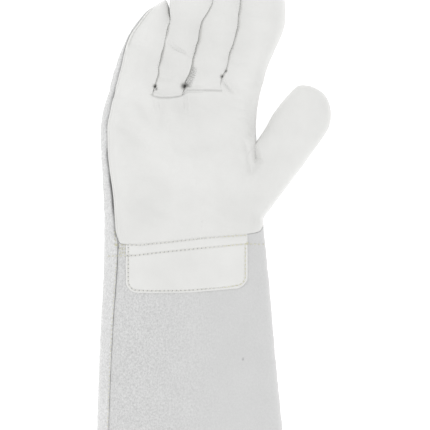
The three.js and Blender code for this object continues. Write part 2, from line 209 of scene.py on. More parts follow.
FINGERS = {
    # left and right outline, the tip, the length of the rounded end, half gusset on the left and on the right
    "little": (LEFT, LITTLE_RING, 180.8, 9.0, 0.0, SIDE_RIGHT),
    "ring": (LITTLE_RING, RING_MIDDLE, 197.5, 13.0, SIDE_LEFT, SIDE_RIGHT),
    "middle": (RING_MIDDLE, MIDDLE_INDEX, 204.0, 12.0, SIDE_LEFT, SIDE_RIGHT),
    "index": (MIDDLE_INDEX, RIGHT, 198.5, 18.0, SIDE_LEFT, 0.0),
}


def hinge(name):
    """Centre of a joint in millimetres, its axis, and the way its moving side points at rest."""
    joint = JOINTS[name]
    axis = np.array(joint["axis"], float)
    return np.array(joint["pos_m"]) / MM, axis, np.array([-axis[1], axis[0], 0.0])


THUMB_CENTRE, THUMB_AXIS, THUMB_AHEAD = hinge("thumb_bend")
THUMB_LEFT = curve((-60, -19), (-10, -19.2), (2, -19.6), (14, -20.4), (27, -22.2), (35, -22.3), (50, -21.2),
                   (62, -19.4))
THUMB_RIGHT = curve((-60, 19.4), (0, 19.4), (30, 18.9), (42, 18.2), (52, 16.5), (62, 14))
THUMB_TIP = 61.5
THUMB_MIDDLE = -3.0            # where its tip lies across it
THUMB_DOME_LEFT, THUMB_DOME_RIGHT = 11.0, 24.0
THUMB_BORDER = -10.0           # where the thumb's own leather begins, before its hinge


def thumb_frame(x, y):
    """Across and along the thumb, from its hinge."""
    dx, dy = x - THUMB_CENTRE[0], y - THUMB_CENTRE[1]
    return dx * THUMB_AXIS[0] + dy * THUMB_AXIS[1], dx * THUMB_AHEAD[0] + dy * THUMB_AHEAD[1]


def rounding(place, tip, dome):
    """Share of the full width left at a place near a fingertip: 1 before the dome, 0 at the tip, an oval
    between."""
    into = np.clip((place - (tip - dome)) / dome, 0, 1)
    return np.sqrt(np.clip(1 - into**2.3, 0, 1))


def thumb_sides(s):
    """The thumb's left and right edge, each drawn in to its tip over its own length, and the share of width
    left."""
    ends = [np.maximum(rounding(s, THUMB_TIP, dome), 4e-3) for dome in (THUMB_DOME_LEFT, THUMB_DOME_RIGHT)]
    whole_left, whole_right = THUMB_LEFT(s), THUMB_RIGHT(s)
    left = THUMB_MIDDLE + (whole_left - THUMB_MIDDLE) * ends[0]
    right = THUMB_MIDDLE + (whole_right - THUMB_MIDDLE) * ends[1]
    return left, right, (right - left) / (whole_right - whole_left)


# ---- heights above the edge ----------------------------------------------------------------------
def body_across(x, y):
    """-1 at the glove's left outline, 1 at its right outline, without the thumb."""
    left, right = LEFT(y), RIGHT(y)
    return (2 * x - left - right) / (right - left)


def thumb_rise(x, y, crown):
    """Height of the thumb's own form, faded out where it runs back into the palm."""
    t, s = thumb_frame(x, y)
    left, right, shrink = thumb_sides(s)
    across = (2 * t - left - right) / (right - left)
    inner = smoothstep((t - left) / 15 + np.clip((s + 8) / 10, 0, 1))
    root = smoothstep((s + 82) / 46) * np.where(s < 2, inner, 1)
    return crown * shrink**0.75 * arc(across, 2.3) * root


def finger_outline(name, y):
    """Left and right edge of a finger at a height y on the glove, parted from its neighbours past the
    crotch."""
    left, right, tip, dome, gusset_left, gusset_right = FINGERS[name]
    a, b = left(y), right(y)
    part = PART * smoothstep((y - 116) / 9)
    if gusset_left:
        a = a + part
    if gusset_right:
        b = b - part
    shrink = np.maximum(rounding(y, tip, dome), 0.004)
    middle, half = (a + b) / 2, (b - a) / 2 * shrink
    return middle - half, middle + half, shrink


def finger_rise(name, x, y, crown):
    """Height of a finger above the edge level: a rounded profile that starts at the gusset's height at each
    side, and leans so that the finger's right side stands a little higher and squarer than its left. The
    gussets' height is slightly ragged, and runs out before the tip, where front and back meet."""
    tip, _, gusset_left, gusset_right = FINGERS[name][2:]
    left, right, shrink = finger_outline(name, y)
    across = np.clip((2 * x - left - right) / (right - left), -1, 1)
    tall = shrink**0.7
    narrow = 1 - smoothstep((y - tip + 22) / 19)
    ragged = 0.4 * rolling(0 * y, y, 22, len(name) + 10 * (gusset_left > 0)) * smoothstep((y - 118) / 10)
    base_left = gusset_left + (2.2 * ragged if gusset_left else 0)
    base_right = gusset_right + (ragged if gusset_right else 0)
    base = np.where(across < 0, base_left, base_right) * tall * narrow
    lean = 1 + 0.09 * np.sin(np.pi * across)
    power = np.where(across < 0, 1.7, 2.3)
    return base + (crown * tall * lean - base) * arc(across, power)


def fingers_rise(x, y, crown):
    """Height of whichever finger lies at (x, y)."""
    names = list(FINGERS)
    parts = [finger_rise(name, x, y, crown) for name in names]
    return np.select([x < LITTLE_RING(y), x < RING_MIDDLE(y), x < MIDDLE_INDEX(y)], parts[:3], parts[3])


FOLDS = [                      # path, width, depth: soft folds of the palm, then sharp creases
    ([(50, 70), (40, 62), (24, 50), (8, 44)], 7.0, 2.2),
    ([(46, 84), (30, 76), (10, 70), (-10, 70)], 8.0, 1.9),
    ([(-50, 88), (-36, 80), (-26, 70)], 6.0, 2.5),
    ([(30, 30), (14, 34), (-6, 30), (-24, 20)], 9.0, 2.1),
    ([(58, 40), (44, 30), (30, 16)], 8.0, 2.1),
    ([(-44, 58), (-28, 50), (-10, 52)], 7.0, 1.9),
    ([(-33, 106), (-27, 94), (-24, 84)], 4.5, 1.7),
    ([(-14, 104), (-13, 94), (-16, 84)], 3.5, 1.3),
    ([(56, 112), (50, 98), (53, 84)], 4.0, 1.0),
    ([(-40, 40), (-20, 22), (6, 12)], 6.0, 0.9),
    ([(20, 96), (12, 80), (-8, 66)], 9.0, 1.6),
    ([(43, 77), (46.5, 72), (48.6, 60), (51.5, 46)], 1.6, 0.7),
    ([(54.5, 84), (52, 80), (49, 78)], 2.2, 1.6),
    ([(28.9, 120.6), (30.8, 117), (34.4, 112.5), (38, 110)], 0.9, 1.2),
    ([(-13, 149), (-8, 143.5), (4, 138)], 0.55, 0.55),
    ([(-11.5, 150.5), (-6, 144.8), (2, 141)], 0.45, 0.3),
    ([(-22.5, 107), (-21.6, 101), (-20, 95)], 0.9, 0.55),
    ([(-19, 106.5), (-18.4, 101), (-17, 97)], 0.8, 0.35),
    ([(0.5, 107.5), (0.4, 102), (0.8, 97)], 0.8, 0.4),
    ([(3.0, 108.5), (3.0, 103), (3.6, 96)], 0.8, 0.5),
    ([(-21, 122), (-12, 121), (-4, 119)], 1.6, 0.35),
    ([(31, 137), (40, 133), (54, 133)], 1.8, 0.35),
    ([(34, 108), (44, 104), (55, 103)], 1.3, 0.28),
    ([(36, 100), (46, 97.5), (55, 97)], 1.2, 0.25),
    ([(38, 93), (46, 91), (54.5, 91)], 1.3, 0.3),
    ([(-44, 150), (-36, 146), (-27, 147)], 1.6, 0.4),
    ([(-30, 112), (-38, 114), (-48, 112)], 2.2, 0.45),
    ([(20, 158), (28, 155), (38, 157)], 1.8, 0.3),
    ([(46, 172), (56, 168), (66, 170)], 2.6, 0.4),
]
GATHERS = 7                    # puckers across the seam above the crotch between ring and middle finger
CROTCH_HOLES = [((-21.8, 115.2), 1.1, 4.0), ((-20.6, 113.2), 0.8, 2.0), ((0.0, 115.4), 1.7, 5.5),
                ((2.6, 116.2), 2.0, 1.8), ((28.2, 122.6), 0.9, 3.0), ((31.4, 126.8), 0.8, 2.0)]
BASE_SEAMS = [                 # seams that join the ring and middle finger fronts to the palm, and depths
    ([(-24.1, 108.9), (-21.7, 107.3), (-17.6, 106.5), (-10, 106.5), (-3, 107.5), (0, 109.3)], 1.0),
    ([(2.6, 112.4), (11, 112.2), (24, 111.9), (28, 111.6)], 1.0),
    ([(1.5, 110.9), (8, 110.7), (14, 110.6)], 0.5),
]


def finger_puckers(x, y):
    """Small puckers along the seams between the fingers: ripples across the seam, 2.4 apart, that come and
    go along it and die away within 3 of it."""
    total = 0
    for seed, line in enumerate((LITTLE_RING, RING_MIDDLE, MIDDLE_INDEX)):
        away = x - line(y)
        ripple = np.sin(2 * np.pi * (y + 0.5 * np.abs(away)) / 2.4 + rolling(x, y, 12, 40 + seed))
        patchy = np.clip(0.35 + 0.5 * rolling(0 * x, y, 22, 50 + seed), 0, 1)
        total = total + 0.3 * ripple * patchy * np.exp(-((away / 1.9) ** 2)) * smoothstep((y - 112) / 8)
    return total


def relief(x, y):
    """Everything that uneven leather adds to the palm side: rolling, folds, gathers, seams and the crotch
    holes."""
    total = 0.35 * rolling(x, y, 38, 5) + 0.10 * rolling(x, y, 11, 8)
    for path, width, depth in FOLDS:
        total = total + crease(x, y, path, width, depth)
    for k in range(GATHERS):
        up = 117 + 2.15 * k
        root = RING_MIDDLE(up) + 0.6
        path = [(root, up), (root + 2.0, up - 1.5), (root + 4.6 - 0.2 * k, up - 2.7)]
        total = total + crease(x, y, path, 0.5, 0.85, lip=0.6)
    for path, depth in BASE_SEAMS:
        away, _ = distance(x, y, path)
        total = total - 0.8 * depth * np.exp(-((away / 0.55) ** 2))
        total = total + 0.4 * depth * np.exp(-(((away - 1.6) / 1.0) ** 2))
    total = total + finger_puckers(x, y)
    for (hx, hy), radius, depth in CROTCH_HOLES:
        total = total - depth * np.exp(-((np.hypot(x - hx, y - hy) / radius) ** 2))
    return total


def cuff_relief(x, y):
    """Unevenness of the cuff: long soft waves along the forearm, and shorter, fainter ones."""
    return 0.3 * rolling(x, 0.6 * y, 44, 21) + 0.07 * rolling(x, y, 13, 22)


def joined_rise(x, y, finger, body, thumb_crown, finger_crown):
    """Height above the edge of the body, the thumb and the fingers together. The thumb swells out of the
    body by the eighth root of the sum of eighth powers, and the fingers take over past the crotches."""
    thumb = thumb_rise(x, y, thumb_crown)
    rise = (body**8 + thumb**8) ** 0.125
    if finger == "thumb":
        return rise
    own = fingers_rise(x, y, finger_crown) if finger is None else finger_rise(finger, x, y, finger_crown)
    return rise + (own - rise) * smoothstep((y - CROTCH(x) + 8) / 9)


def top(x, y, finger=None):
    """Height of the palm side. A finger's own piece names it, so that it doesn't jump to its neighbour at
    its edge."""
    body = CROWN(y) * arc(body_across(x, y), TOP_ROUND)
    rise = joined_rise(x, y, finger, body, THUMB_CROWN, FINGER_CROWN)
    calm = smoothstep(rise / 9)
    on_hand = smoothstep(y / 14)
    uneven = np.where(y > 0, relief(x, y), 0) * on_hand + cuff_relief(x, y) * (1 - on_hand)
    return LEVEL(y) + rise + calm * (uneven + seam_relief(x, y))


def seam_distance(x, y):
    """Distance to the side seam, measured across it."""
    slope = (SEAM(y + 0.5) - SEAM(y - 0.5))
    return np.abs(x - SEAM(y)) / np.sqrt(1 + slope**2)


def seam_relief(x, y):
    """Side seam. On the hand both leathers turn down into it, the back leather deeper, and the palm rises in
    a soft rim beside it; on the cuff the wrapped leather lies folded on top with a rounded edge, and the
    front dips under it."""
    away, depth = seam_distance(x, y), SEAM_DEPTH(y) * (1 + 0.25 * rolling(0 * y, y, 24, 70))
    palm_side = x > SEAM(y)
    sunk = np.where(palm_side, 0.5 * np.exp(-((away / 0.8) ** 2)), 1.0 * np.exp(-((away / 1.7) ** 2)))
    edge = 0.55 * np.exp(-(((away - 1.6) / 1.5) ** 2)) - 0.3 * np.exp(-((away / 0.35) ** 2))
    folded = np.where(palm_side, -1.1 * np.exp(-((away / 1.1) ** 2)), edge)
    on_hand = smoothstep((y + 5) / 9)
    rim = np.where(palm_side, 0.5 * np.exp(-(((away - 2.2) / 1.3) ** 2)), 0)
    return depth * (folded * (1 - on_hand) - sunk * on_hand) + rim * on_hand


def under(x, y, finger=None):
    """Height of the underside, pressed flat where it lies on the table, and raised at the mouth by the
    binding."""
    depth = LEVEL(y) + FLATTENED
    body = depth * arc(body_across(x, y), UNDER_ROUND)
    drop = joined_rise(x, y, finger, body, depth, depth)
    height = LEVEL(y) - drop + 0.3 * rolling(x, y, 30, 31)
    floor = 0.25 + 1.5 * smoothstep((MOUTH + 15 - y) / 4)
    return floor + 0.5 * (height - floor + np.sqrt((height - floor) ** 2 + 0.8))


def normals(surface, x, y, up):
    """Unit normals of a height surface, from its slopes a twentieth of a millimetre to each side."""
    step = 0.05
    slope_x = (surface(x + step, y) - surface(x - step, y)) / (2 * step)
    slope_y = (surface(x, y + step) - surface(x, y - step)) / (2 * step)
    out = np.stack([-slope_x * up, -slope_y * up, np.full(np.shape(x), float(up))], -1)
    return out / np.linalg.norm(out, axis=-1, keepdims=True)


# ---- meshes --------------------------------------------------------------------------------------
def grid_faces(rows, cols, wrap=False):
    """Four-sided faces of a grid of points, counted row by row, the last column joined to the first if it
    wraps."""
    index = np.arange(rows * cols).reshape(rows, cols)
    if wrap:
        index = np.concatenate([index, index[:, :1]], 1)
    return np.stack([index[:-1, :-1], index[:-1, 1:], index[1:, 1:], index[1:, :-1]], -1).reshape(-1, 4)


def build(name, points, faces, materials, face_material=None, corner_normals=None):
    """Mesh object from whole arrays of points in millimetres and faces."""
    mesh = bpy.data.meshes.new(name)
    mesh.from_pydata(points * MM, [], faces)
    for material in materials:
        mesh.materials.append(material)
    if face_material is not None:
        mesh.polygons.foreach_set("material_index", face_material.astype(np.int32))
    mesh.polygons.foreach_set("use_smooth", np.ones(len(mesh.polygons), bool))
    if corner_normals is not None:
        mesh.normals_split_custom_set(corner_normals.tolist())
    mesh.update()
    obj = bpy.data.objects.new(name, mesh)
    bpy.context.scene.collection.objects.link(obj)
    return obj


def panel(name, outer, normal, materials, shade_and_marks=None, wall=WALL):
    """A panel of leather: the outer grid, the same grid set back along its normals by the wall, and the cut
    edges that close the four sides. The outer face keeps its own normals, so panels cut from one hide join
    unseen."""
    rows, cols = outer.shape[:2]
    count = rows * cols
    points = np.concatenate([outer.reshape(-1, 3), (outer - wall * normal).reshape(-1, 3)])
    quads = grid_faces(rows, cols)
    index = np.arange(count).reshape(rows, cols)
    loop = np.concatenate([index[0, :-1], index[:-1, -1], index[-1, :0:-1], index[:0:-1, 0]])
    following = np.roll(loop, -1)
    rim = np.stack([loop, loop + count, following + count, following], -1)
    inner = quads[:, ::-1] + count
    a, b, c = outer[rows // 2, cols // 2], outer[rows // 2, cols // 2 + 1], outer[rows // 2 + 1, cols // 2]
    if np.dot(np.cross(b - a, c - a), normal[rows // 2, cols // 2]) < 0:
        quads, inner, rim = quads[:, ::-1], inner[:, ::-1], rim[:, ::-1]
    flat = normal.reshape(-1, 3)
    p = points[rim]
    edge = np.cross(p[:, 2] - p[:, 0], p[:, 3] - p[:, 1])
    edge /= np.maximum(np.linalg.norm(edge, axis=-1, keepdims=True), 1e-9)
    corner = np.concatenate([flat[quads].reshape(-1, 3), -flat[inner - count].reshape(-1, 3),
                             np.repeat(edge, 4, 0)])
    kinds = np.concatenate([np.zeros(len(quads)), np.ones(len(inner)), np.ones(len(rim))])
    faces = np.concatenate([quads, inner, rim])
    obj = build(name, points, faces, materials, kinds, corner)
    # per-point painted shade, and marks of the leather's own, read by the leather materials
    if shade_and_marks is not None:
        layer = obj.data.attributes.new("shade_and_marks", "FLOAT", "POINT")
        layer.data.foreach_set("value", np.tile(shade_and_marks.reshape(-1), 2).astype(np.float32))
    return obj


def plan_panel(name, x, y, surface, up, materials, shade_and_marks=None):
    """Panel over a grid of plan points, on the palm side (up = 1) or the underside (up = -1)."""
    normal = normals(surface, x, y, up)
    outer = np.stack([x, y, surface(x, y)], -1)
    # painted shade of the seams, holes and soft patches on the palm side by default, none on the underside
    darkening = shade_and_marks or (painted_shade if up > 0 else (lambda x, y: 0 * x))
    return panel(name, outer, normal, materials, darkening(x, y))


SOFT_SHADES = [                    # place, radius and strength of soft grey patches of painted shade
    ((-22, 92), 9, 0.045), ((53, 90), 9, 0.07), ((58, 122), 7, 0.05), ((-46, 96), 9, 0.04),
    ((55, 14), 6, 0.06), ((66, 150), 9, 0.03), ((-2, 98), 6, 0.02), ((30, 60), 16, 0.02),
    ((-30, 26), 18, 0.02), ((14, 10), 14, 0.015), ((40, 150), 10, 0.03), ((-10, 130), 9, 0.03),
    ((-34, 130), 12, 0.03),
]


def painted_shade(x, y):
    """How much painted shade darkens the leather: in the side seam, beside the little finger's welt, along
    the base seams, beside the finger grooves and in the holes, and in soft grey patches over the palm and
    fingers."""
    # painted shade in the side seam, strongest where the seam is deepest, wider on the back leather
    away = seam_distance(x, y)
    strength = np.clip(SEAM_DEPTH(y) / 3.2, 0, 1) ** 1.2
    wide = 0.7 + 0.35 * np.exp(-(((y - 34) / 24) ** 2))
    on_back = x < SEAM(y)
    total = strength * np.where(on_back, 1.0, 0.45) * np.exp(-((away / np.where(on_back, wide, 0.6)) ** 2))
    # painted dark line beside the little finger's welt
    welt = np.exp(-(((x - SEAM(y) - 2.3) / 0.5) ** 2)) * smoothstep((y - 143) / 4) * smoothstep((176 - y) / 4)
    total = np.maximum(total, 0.42 * welt)
    # painted shade along the seams at the finger bases
    for path, depth in BASE_SEAMS:
        away, _ = distance(x, y, path)
        total = np.maximum(total, 0.22 * depth * np.exp(-((away / 0.5) ** 2)))
    # painted shade in the crotch holes
    for (hx, hy), radius, depth in CROTCH_HOLES:
        total = np.maximum(total, min(depth / 3.5, 1) * np.exp(-((np.hypot(x - hx, y - hy) / radius) ** 2)))
    # painted shade on each finger's left flank beside the groove, strongest on the index, and a faint painted
    # line on the groove
    past = smoothstep((y - CROTCH(x)) / 6)
    for line, shade in ((LITTLE_RING, 0.07), (RING_MIDDLE, 0.10), (MIDDLE_INDEX, 0.15)):
        away = x - line(y)
        edge = np.where(away > 0, shade * np.exp(-away / 4.5), 0.03 * np.exp(-((away / 0.5) ** 2)))
        patchy = np.clip(0.65 + 0.4 * rolling(0 * x, y, 26, 60), 0.2, 1.3)
        total = np.maximum(total, past * patchy * edge)
    # soft grey patches of painted shade, standing in for the shading of soft folds
    for (hx, hy), radius, strength in SOFT_SHADES:
        total = total + strength * np.exp(-((np.hypot(x - hx, y - hy) / radius) ** 2))
    return np.clip(total, 0, 1)


def ease_right(count):
    """Shares from 0 to 1, closer and closer together towards 1."""
    return 1 - (1 - np.linspace(0, 1, count)) ** 1.8


def ease_both(count):
    """Shares from 0 to 1, closer together at both ends."""
    return (1 - np.cos(np.pi * np.linspace(0, 1, count))) / 2


# ---- materials -----------------------------------------------------------------------------------
def node_group(name, outputs, inputs):
    """Empty shader group with named outputs and (name, default) inputs."""
    group = bpy.data.node_groups.new(name, "ShaderNodeTree")
    for label, kind in outputs:
        group.interface.new_socket(label, in_out="OUTPUT", socket_type=kind)
    for label, kind, value in inputs:
        socket = group.interface.new_socket(label, in_out="INPUT", socket_type=kind)
        if value is not None:
            socket.default_value = value
    return group, group.nodes.new("NodeGroupInput"), group.nodes.new("NodeGroupOutput")


def fill(tree, node, inputs):
    """Set or link a node's inputs, each a value or another node's output."""
    for key, value in inputs.items():
        if isinstance(value, bpy.types.NodeSocket):
            tree.links.new(value, node.inputs[key])
        else:
            node.inputs[key].default_value = value


def add(tree, kind, inputs=None, **settings):
    """Node with its settings and its inputs."""
    node = tree.nodes.new(kind)
    for key, value in settings.items():
        setattr(node, key, value)
    fill(tree, node, inputs or {})
    return node


def mixed(tree, factor, low, high):
    """Colour between low and high, each a colour or another node's output."""
    first, second, result = 6, 7, 2           # the Mix node's colour sockets, whose names others share
    mix = add(tree, "ShaderNodeMix", {"Factor": factor, first: low, second: high}, data_type="RGBA")
    return mix.outputs[result]


def hide_grain_group():
    """Fine pores and creases of full-grain leather, as a height from 0 to 1, and slow mottling from 0 to
    1."""
    sockets = [("Height", "NodeSocketFloat"), ("Mottle", "NodeSocketFloat")]
    group, _, out = node_group("hide_grain", sockets, [])
    place = add(group, "ShaderNodeTexCoord").outputs["Object"]
    pores = add(group, "ShaderNodeTexVoronoi", {"Vector": place, "Scale": 1500.0}, feature="DISTANCE_TO_EDGE")
    fine = add(group, "ShaderNodeTexNoise", {"Vector": place, "Scale": 700.0, "Detail": 3.0})
    wrinkle = add(group, "ShaderNodeTexNoise",
                  {"Vector": place, "Scale": 170.0, "Detail": 4.0, "Distortion": 0.6})
    mottle = add(group, "ShaderNodeTexNoise", {"Vector": place, "Scale": 26.0, "Detail": 3.0})
    edge = add(group, "ShaderNodeMapRange",
               {"Value": pores.outputs["Distance"], "From Max": 0.12, "To Max": 0.35})
    mixed = add(group, "ShaderNodeMath", {0: fine.outputs["Fac"], 1: 0.35, 2: edge.outputs["Result"]},
                operation="MULTIPLY_ADD")
    height = add(group, "ShaderNodeMath", {0: wrinkle.outputs["Fac"], 1: 0.8, 2: mixed.outputs["Value"]},
                 operation="MULTIPLY_ADD")
    group.links.new(height.outputs["Value"], out.inputs["Height"])
    group.links.new(mottle.outputs["Fac"], out.inputs["Mottle"])
    return group


def nap_group():
    """Short nap of split leather, its speckle fainter towards the thumb's side: a speckle from 0 to 1, its
    height, and slow mottling."""
    sockets = [("Speckle", "NodeSocketFloat"), ("Height", "NodeSocketFloat"), ("Mottle", "NodeSocketFloat")]
    group, _, out = node_group("split_nap", sockets, [])
    place = add(group, "ShaderNodeTexCoord").outputs["Object"]
    stretched = add(group, "ShaderNodeMapping", {"Vector": place, "Scale": (1.0, 0.7, 1.0)}).outputs["Vector"]
    fibre = add(group, "ShaderNodeTexNoise",
                {"Vector": stretched, "Scale": 1500.0, "Detail": 4.0, "Roughness": 0.7})
    tuft = add(group, "ShaderNodeTexNoise",
               {"Vector": stretched, "Scale": 850.0, "Detail": 2.0, "Roughness": 0.65})
    mottle = add(group, "ShaderNodeTexNoise", {"Vector": place, "Scale": 38.0, "Detail": 4.0})
    speckle = add(group, "ShaderNodeMath", {0: tuft.outputs["Fac"], 1: 0.55}, operation="MULTIPLY")
    both = add(group, "ShaderNodeMath", {0: fibre.outputs["Fac"], 1: 0.45, 2: speckle.outputs["Value"]},
               operation="MULTIPLY_ADD")
    sides = add(group, "ShaderNodeSeparateXYZ", {"Vector": place})
    # the speckle's colour and height fade towards the thumb's side
    speckle_fade = add(group, "ShaderNodeMapRange", {"Value": sides.outputs["X"], "From Min": -0.03,
                                                "From Max": 0.03, "To Min": 1.0, "To Max": 0.22})
    centred = add(group, "ShaderNodeMath", {0: both.outputs["Value"], 1: 0.5}, operation="SUBTRACT")
    faded = add(group, "ShaderNodeMath", {0: centred.outputs["Value"], 1: speckle_fade.outputs["Result"], 2: 0.5},
                operation="MULTIPLY_ADD")
    group.links.new(faded.outputs["Value"], out.inputs["Speckle"])
    group.links.new(faded.outputs["Value"], out.inputs["Height"])
    group.links.new(mottle.outputs["Fac"], out.inputs["Mottle"])
    return group


def shade_and_marks_group():
    """A colour turned towards its shade by the panel's own values: painted shade in seams, holes and soft
    patches, and on the cuff a tiny dark knot in the leather."""
    group, inside, out = node_group(
        "shade_and_marks_mix", [("Color", "NodeSocketColor")],
        [("Color", "NodeSocketColor", (1, 1, 1, 1)), ("Shade", "NodeSocketColor", (0.4, 0.4, 0.4, 1))])
    shade_and_marks = add(group, "ShaderNodeAttribute", attribute_name="shade_and_marks")
    colour = mixed(group, shade_and_marks.outputs["Fac"], inside.outputs["Color"], inside.outputs["Shade"])
    group.links.new(colour, out.inputs["Color"])
    return group


def mixed_colour(tree, factor, low, high, spread=(0.35, 0.65)):
    """Colour between low and high as the factor crosses its spread."""
    share = add(tree, "ShaderNodeMapRange", {"Value": factor, "From Min": spread[0], "From Max": spread[1]})
    return mixed(tree, share.outputs["Result"], (*low, 1), (*high, 1))


def new_material(name):
    """Material with an empty tree, its Principled shader and its output."""
    material = bpy.data.materials.new(name)
    material.use_nodes = True
    tree = material.node_tree
    tree.nodes.clear()
    shader = tree.nodes.new("ShaderNodeBsdfPrincipled")
    output = tree.nodes.new("ShaderNodeOutputMaterial")
    tree.links.new(shader.outputs["BSDF"], output.inputs["Surface"])
    return material, tree, shader


def shade_and_marks_colour(tree, shade_and_marks_mix, colour, shade):
    """The colour, turned to the shade where the panel carries painted shade or a dark mark."""
    darkening = add(tree, "ShaderNodeGroup", {"Color": colour, "Shade": (*shade, 1)}, node_tree=shade_and_marks_mix)
    return darkening.outputs["Color"]


def grain_leather(grain, shade_and_marks_mix):
    """Off-white full-grain leather: soft sheen, fine pores, slow mottling, painted shade in the seams."""
    material, tree, shader = new_material("grain_leather")
    detail = add(tree, "ShaderNodeGroup", node_tree=grain).outputs
    base = mixed_colour(tree, detail["Mottle"], (0.762, 0.762, 0.747), (0.808, 0.808, 0.793))
    rough = add(tree, "ShaderNodeMapRange", {"Value": detail["Height"], "To Min": 0.66, "To Max": 0.48})
    bump = add(tree, "ShaderNodeBump", {"Strength": 0.28, "Distance": 0.0004, "Height": detail["Height"]})
    fill(tree, shader, {
        # turned towards the colour of the painted shade in seams, holes and soft patches
        "Base Color": shade_and_marks_colour(tree, shade_and_marks_mix, base, (0.26, 0.26, 0.25)),
        "Roughness": rough.outputs["Result"],
        "Specular IOR Level": 0.35,
        "Normal": bump.outputs["Normal"],
    })
    return material


def split_leather(name, nap, shade_and_marks_mix, low, high):
    """Split leather with a short nap: speckled, matt, with a faint sheen at the edge."""
    material, tree, shader = new_material(name)
    detail = add(tree, "ShaderNodeGroup", node_tree=nap).outputs
    slow = mixed_colour(tree, detail["Mottle"], low, high)
    speck = add(tree, "ShaderNodeMapRange", {"Value": detail["Speckle"], "From Min": 0.32, "From Max": 0.66,
                                             "To Min": 0.77, "To Max": 1.19})
    tinted = add(tree, "ShaderNodeVectorMath", {0: slow, "Scale": speck.outputs["Result"]}, operation="SCALE")
    bump = add(tree, "ShaderNodeBump", {"Strength": 0.5, "Distance": 0.0006, "Height": detail["Height"]})
    fill(tree, shader, {
        # turned almost to black by the painted shade in the side seam, and by the knot on the cuff
        "Base Color": shade_and_marks_colour(tree, shade_and_marks_mix, tinted.outputs["Vector"], (0.1, 0.1, 0.1)),
        "Roughness": 0.93,
        "Sheen Weight": 0.15,
        "Specular IOR Level": 0.2,
        "Normal": bump.outputs["Normal"],
    })
    return material


def sewing_thread():
    """Twisted yarn: slanting plies along each stitch, fuzzy and matt; white over the middle of the wrist and
    pale yellow towards both of its ends."""
    material, tree, shader = new_material("sewing_thread")
    place = add(tree, "ShaderNodeUVMap", uv_map="stitch")
    plies = add(tree, "ShaderNodeTexWave", {"Vector": place.outputs["UV"], "Scale": 2.2, "Distortion": 0.4},
                bands_direction="DIAGONAL")
    yellow = mixed_colour(tree, plies.outputs["Fac"], (0.66, 0.645, 0.48), (0.84, 0.83, 0.68), (0.1, 0.7))
    white = mixed_colour(tree, plies.outputs["Fac"], (0.74, 0.735, 0.68), (0.9, 0.895, 0.85), (0.1, 0.7))
    sides = add(tree, "ShaderNodeSeparateXYZ", {"Vector": add(tree, "ShaderNodeTexCoord").outputs["Object"]})
    off = add(tree, "ShaderNodeMath", {0: sides.outputs["X"], 1: -0.007}, operation="SUBTRACT")
    away = add(tree, "ShaderNodeMath", {0: off.outputs["Value"]}, operation="ABSOLUTE")
    share = add(tree, "ShaderNodeMapRange",
                {"Value": away.outputs["Value"], "From Min": 0.034, "From Max": 0.038})
    bump = add(tree, "ShaderNodeBump", {"Strength": 0.5, "Distance": 0.0002, "Height": plies.outputs["Fac"]})
    fill(tree, shader, {
        "Base Color": mixed(tree, share.outputs["Result"], white, yellow),
        "Roughness": 0.75,
        "Normal": bump.outputs["Normal"],
    })
    return material


HIDE_GRAIN, NAP, SHADE_AND_MARKS_MIX = hide_grain_group(), nap_group(), shade_and_marks_group()
GRAIN = grain_leather(HIDE_GRAIN, SHADE_AND_MARKS_MIX)
SPLIT = split_leather("split_leather", NAP, SHADE_AND_MARKS_MIX, (0.64, 0.642, 0.64), (0.657, 0.659, 0.657))
# a lighter copy of the split leather for the back, painted lighter to stand in for light on the strip beside
# the side seam
SPLIT_LIGHTENED = split_leather("split_leather_painted_lighter", NAP, SHADE_AND_MARKS_MIX, (0.686, 0.687, 0.685), (0.71, 0.712, 0.71))
FLESH = split_leather("flesh_side", NAP, SHADE_AND_MARKS_MIX, (0.56, 0.555, 0.53), (0.64, 0.63, 0.60))
THREAD = sewing_thread()
GRAIN_SIDES = [GRAIN, FLESH]
SPLIT_SIDES = [SPLIT, FLESH]
SPLIT_LIGHTENED_SIDES = [SPLIT_LIGHTENED, FLESH]


# ---- pieces: how each one is tied to the frame ---------------------------------------------------
def tie(obj, body, nodes, bend=None):
    """Replace CAD nodes by a piece that rides on a body or, with a bend (two bodies, start, end), stays fixed
    in place with its transform baked in.
    """
    if bend is None:
        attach(obj, body)
    else:
        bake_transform(obj)
    if nodes:
        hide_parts(*nodes)


def bend_zone(joint, before, after):
    """The two bodies of a joint, and the start and end of the leather's bend, before and after its hinge."""
    centre, _, ahead = hinge(joint)
    record = JOINTS[joint]
    return record["parent"], record["child"], centre + before * ahead, centre + after * ahead


WRIST_BEND = bend_zone("wrist_bend", -7, 12)
THUMB_BEND = bend_zone("thumb_bend", -8, 9)
FINGER_BENDS = {
    "little": bend_zone("little_bend", 1, 14),
    "ring": bend_zone("ring_bend", 1, 14),
    "middle": bend_zone("middle_bend", 2, 15),
    "index": bend_zone("index_bend", -3, 12),
}


# ---- hand ----------------------------------------------------------------------------------------
def thumb_line_x(y, across):
    """X of the line at a constant place across the thumb."""
    return THUMB_CENTRE[0] + (across - (y - THUMB_CENTRE[1]) * THUMB_AXIS[1]) / THUMB_AXIS[0]


def hand_right(y):
    """Right end of the hand's back: the outline up the heel of the hand, back along the thumb's border,
    along the thumb's inner edge to the crotch, and up the side of the hand."""
    outer = np.maximum(RIGHT(y), thumb_line_x(y, THUMB_RIGHT(-30.0)))
    border = THUMB_CENTRE[0] + (THUMB_BORDER - (y - THUMB_CENTRE[1]) * THUMB_AHEAD[1]) / THUMB_AHEAD[0]
    inner = thumb_line_x(y, THUMB_LEFT(THUMB_BORDER))
    return np.where(outer < border, outer, np.maximum(border, np.minimum(inner, RIGHT(y))))


def palm_right(y):
    """Right end of the palm leather: the same, with a rounded corner at the wrist."""
    return np.minimum(hand_right(y), PALM_CORNER(y))


